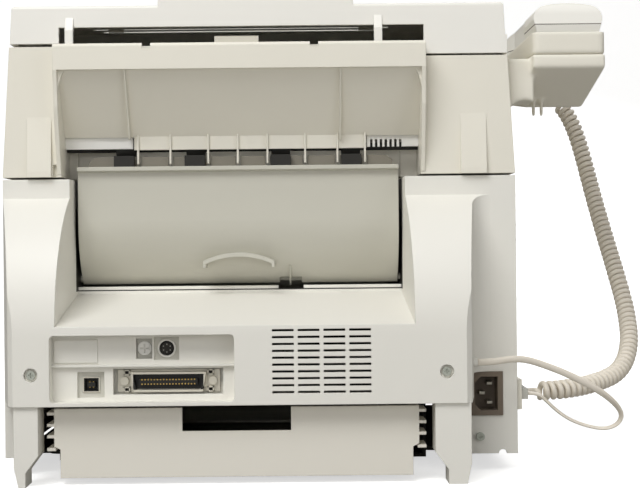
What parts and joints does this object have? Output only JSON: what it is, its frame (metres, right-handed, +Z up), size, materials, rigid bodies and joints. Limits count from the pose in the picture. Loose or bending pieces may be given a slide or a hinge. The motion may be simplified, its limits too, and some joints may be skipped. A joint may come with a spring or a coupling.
{
  "type": "fax_machine",
  "caption": "Desktop laser fax machine with paper cassette, opening top, rear jam cover, front door, lifting handset and coiled cord",
  "frame": {"origin": "on the table, under the middle of the machine's width and depth, cords left out", "axes": "+Z up, front towards -Y, rear with the sockets towards +Y, handset side towards -X"},
  "size_m": [0.492, 0.42, 0.354],
  "materials": {
    "shell_white": "fine moulded texture, off white",
    "shell_light": "fine moulded texture, off white",
    "shell_warm": "fine moulded texture, warm grey white",
    "shell_grey": "smooth moulded, light grey",
    "panel_grey": "satin moulded, grey",
    "key_grey": "satin moulded, dark grey",
    "key_green": "satin moulded, green",
    "key_red": "satin moulded, red",
    "display": "clear cover over a grey green display",
    "cassette_grey": "smooth moulded, light grey",
    "dark_plastic": "matt moulded, near black",
    "white_plastic": "smooth moulded, white",
    "clear_plastic": "clear moulded",
    "steel": "plated sheet steel",
    "roller_metal": "turned and coated",
    "roller_rubber": "matt rubber on a steel shaft",
    "foot_rubber": "matt",
    "cord_grey": "soft vinyl sheath, light grey"
  },
  "bodies": {
    "machine": {"rear_cover": "shell_light", "cover_hinge_pins": "steel", "scan_bar": "dark_plastic", "upper_housing": "shell_warm", "exit_guides": "white_plastic", "base_frame": "dark_plastic", "rubber_feet": "foot_rubber", "drum_unit": "dark_plastic", "toner_cartridge": "dark_plastic", "laser_unit": "dark_plastic", "right_side_cover": "shell_light", "left_side_cover": "shell_light", "output_deck": "shell_warm", "interface_plate": "steel", "usb_socket": "steel", "parallel_socket": "steel", "round_socket": "dark_plastic", "ground_screw": "white_plastic", "power_inlet": "dark_plastic", "jack_block": "shell_warm", "modular_plugs": "clear_plastic", "cover_screws": "steel", "cradle_base": "shell_warm", "cradle_cup": "shell_warm", "handset_cord": "cord_grey", "line_lead": "cord_grey"},
    "top_cover": {"top_cover": "shell_white", "control_panel": "panel_grey", "display_window": "display"},
    "document_support": {"document_support": "shell_white"},
    "document_guide_left": {"document_guide_left": "shell_warm"},
    "document_guide_right": {"document_guide_right": "shell_warm"},
    "document_roller": {"document_roller": "roller_rubber"},
    "jam_cover": {"jam_cover": "shell_grey", "pinch_holders": "dark_plastic", "pinch_guide": "steel"},
    "exit_roller": {"exit_roller": "roller_rubber"},
    "pickup_roller": {"pickup_roller": "roller_rubber"},
    "heat_roller": {"heat_roller": "roller_metal"},
    "pressure_roller": {"pressure_roller": "roller_rubber"},
    "front_cover": {"front_cover": "shell_light"},
    "paper_cassette": {"paper_cassette": "cassette_grey"},
    "lift_plate": {"lift_plate": "steel"},
    "handset": {"handset_back": "shell_white", "handset_face": "shell_white"},
    "hook_switch": {"hook_switch": "white_plastic"},
    "dial_key_01": {"dial_key_01": "key_grey"},
    "dial_key_02": {"dial_key_02": "key_grey"},
    "dial_key_03": {"dial_key_03": "key_grey"},
    "dial_key_04": {"dial_key_04": "key_grey"},
    "dial_key_05": {"dial_key_05": "key_grey"},
    "dial_key_06": {"dial_key_06": "key_grey"},
    "dial_key_07": {"dial_key_07": "key_grey"},
    "dial_key_08": {"dial_key_08": "key_grey"},
    "dial_key_09": {"dial_key_09": "key_grey"},
    "dial_key_10": {"dial_key_10": "key_grey"},
    "dial_key_11": {"dial_key_11": "key_grey"},
    "dial_key_12": {"dial_key_12": "key_grey"},
    "stop_key": {"stop_key": "key_red"},
    "start_key": {"start_key": "key_green"}
  },
  "joints": [
    {"name": "top_cover_hinge", "type": "hinge", "parent": "machine", "child": "top_cover", "pos_m": [0.047, 0.157, 0.3045], "axis": [-1, 0, 0], "range_deg": [0, 40]},
    {"name": "document_support_hinge", "type": "hinge", "parent": "top_cover", "child": "document_support", "pos_m": [0.0355, 0.138, 0.347], "axis": [-1, 0, 0], "range_deg": [0, 110]},
    {"name": "document_guide_left_slide", "type": "slide", "parent": "top_cover", "child": "document_guide_left", "axis": [1, 0, 0], "range_m": [0, 0.045]},
    {"name": "document_guide_right_slide", "type": "slide", "parent": "top_cover", "child": "document_guide_right", "axis": [-1, 0, 0], "range_m": [0, 0.045]},
    {"name": "document_roller_turn", "type": "hinge", "parent": "machine", "child": "document_roller", "pos_m": [0.05, 0.052, 0.292], "axis": [1, 0, 0], "continuous": true},
    {"name": "jam_cover_hinge", "type": "hinge", "parent": "machine", "child": "jam_cover", "pos_m": [0.05, 0.107, 0.142], "axis": [-1, 0, 0], "range_deg": [0, 38]},
    {"name": "exit_roller_turn", "type": "hinge", "parent": "machine", "child": "exit_roller", "pos_m": [0.05, 0.121, 0.24], "axis": [1, 0, 0], "continuous": true},
    {"name": "pickup_roller_turn", "type": "hinge", "parent": "machine", "child": "pickup_roller", "pos_m": [0.05, -0.128, 0.0755], "axis": [1, 0, 0], "continuous": true},
    {"name": "heat_roller_turn", "type": "hinge", "parent": "machine", "child": "heat_roller", "pos_m": [0.05, 0.06, 0.14], "axis": [1, 0, 0], "continuous": true},
    {"name": "pressure_roller_turn", "type": "hinge", "parent": "machine", "child": "pressure_roller", "pos_m": [0.05, 0.06, 0.111], "axis": [1, 0, 0], "continuous": true},
    {"name": "front_cover_hinge", "type": "hinge", "parent": "machine", "child": "front_cover", "pos_m": [0.05, -0.19, 0.0645], "axis": [1, 0, 0], "range_deg": [0, 90]},
    {"name": "paper_cassette_slide", "type": "slide", "parent": "machine", "child": "paper_cassette", "axis": [0, -1, 0], "range_m": [0, 0.3]},
    {"name": "lift_plate_hinge", "type": "hinge", "parent": "paper_cassette", "child": "lift_plate", "pos_m": [0.05, -0.048, 0.01375], "axis": [-1, 0, 0], "range_deg": [0, 12]},
    {"name": "handset_lift", "type": "slide", "parent": "machine", "child": "handset", "axis": [0, 0, 1], "range_m": [0, 0.12]},
    {"name": "hook_switch_press", "type": "slide", "parent": "machine", "child": "hook_switch", "axis": [0, 0, 1], "range_m": [-0.003, 0], "stiffness_N_per_m": 200},
    {"name": "dial_key_01_press", "type": "slide", "parent": "top_cover", "child": "dial_key_01", "axis": [0, -0.2383, 0.9712], "range_m": [-0.0012, 0], "stiffness_N_per_m": 400},
    {"name": "dial_key_02_press", "type": "slide", "parent": "top_cover", "child": "dial_key_02", "axis": [0, -0.2383, 0.9712], "range_m": [-0.0012, 0], "stiffness_N_per_m": 400},
    {"name": "dial_key_03_press", "type": "slide", "parent": "top_cover", "child": "dial_key_03", "axis": [0, -0.2383, 0.9712], "range_m": [-0.0012, 0], "stiffness_N_per_m": 400},
    {"name": "dial_key_04_press", "type": "slide", "parent": "top_cover", "child": "dial_key_04", "axis": [0, -0.2383, 0.9712], "range_m": [-0.0012, 0], "stiffness_N_per_m": 400},
    {"name": "dial_key_05_press", "type": "slide", "parent": "top_cover", "child": "dial_key_05", "axis": [0, -0.2383, 0.9712], "range_m": [-0.0012, 0], "stiffness_N_per_m": 400},
    {"name": "dial_key_06_press", "type": "slide", "parent": "top_cover", "child": "dial_key_06", "axis": [0, -0.2383, 0.9712], "range_m": [-0.0012, 0], "stiffness_N_per_m": 400},
    {"name": "dial_key_07_press", "type": "slide", "parent": "top_cover", "child": "dial_key_07", "axis": [0, -0.2383, 0.9712], "range_m": [-0.0012, 0], "stiffness_N_per_m": 400},
    {"name": "dial_key_08_press", "type": "slide", "parent": "top_cover", "child": "dial_key_08", "axis": [0, -0.2383, 0.9712], "range_m": [-0.0012, 0], "stiffness_N_per_m": 400},
    {"name": "dial_key_09_press", "type": "slide", "parent": "top_cover", "child": "dial_key_09", "axis": [0, -0.2383, 0.9712], "range_m": [-0.0012, 0], "stiffness_N_per_m": 400},
    {"name": "dial_key_10_press", "type": "slide", "parent": "top_cover", "child": "dial_key_10", "axis": [0, -0.2383, 0.9712], "range_m": [-0.0012, 0], "stiffness_N_per_m": 400},
    {"name": "dial_key_11_press", "type": "slide", "parent": "top_cover", "child": "dial_key_11", "axis": [0, -0.2383, 0.9712], "range_m": [-0.0012, 0], "stiffness_N_per_m": 400},
    {"name": "dial_key_12_press", "type": "slide", "parent": "top_cover", "child": "dial_key_12", "axis": [0, -0.2383, 0.9712], "range_m": [-0.0012, 0], "stiffness_N_per_m": 400},
    {"name": "stop_key_press", "type": "slide", "parent": "top_cover", "child": "stop_key", "axis": [0, -0.2383, 0.9712], "range_m": [-0.0012, 0], "stiffness_N_per_m": 400},
    {"name": "start_key_press", "type": "slide", "parent": "top_cover", "child": "start_key", "axis": [0, -0.2383, 0.9712], "range_m": [-0.0012, 0], "stiffness_N_per_m": 400}
  ],
  "couplings": [
    {"joint": "document_guide_right_slide", "follows": "document_guide_left_slide", "ratio": 1},
    {"joint": "exit_roller_turn", "follows": "heat_roller_turn", "ratio": 2.0429},
    {"joint": "pressure_roller_turn", "follows": "heat_roller_turn", "ratio": -1}
  ]
}
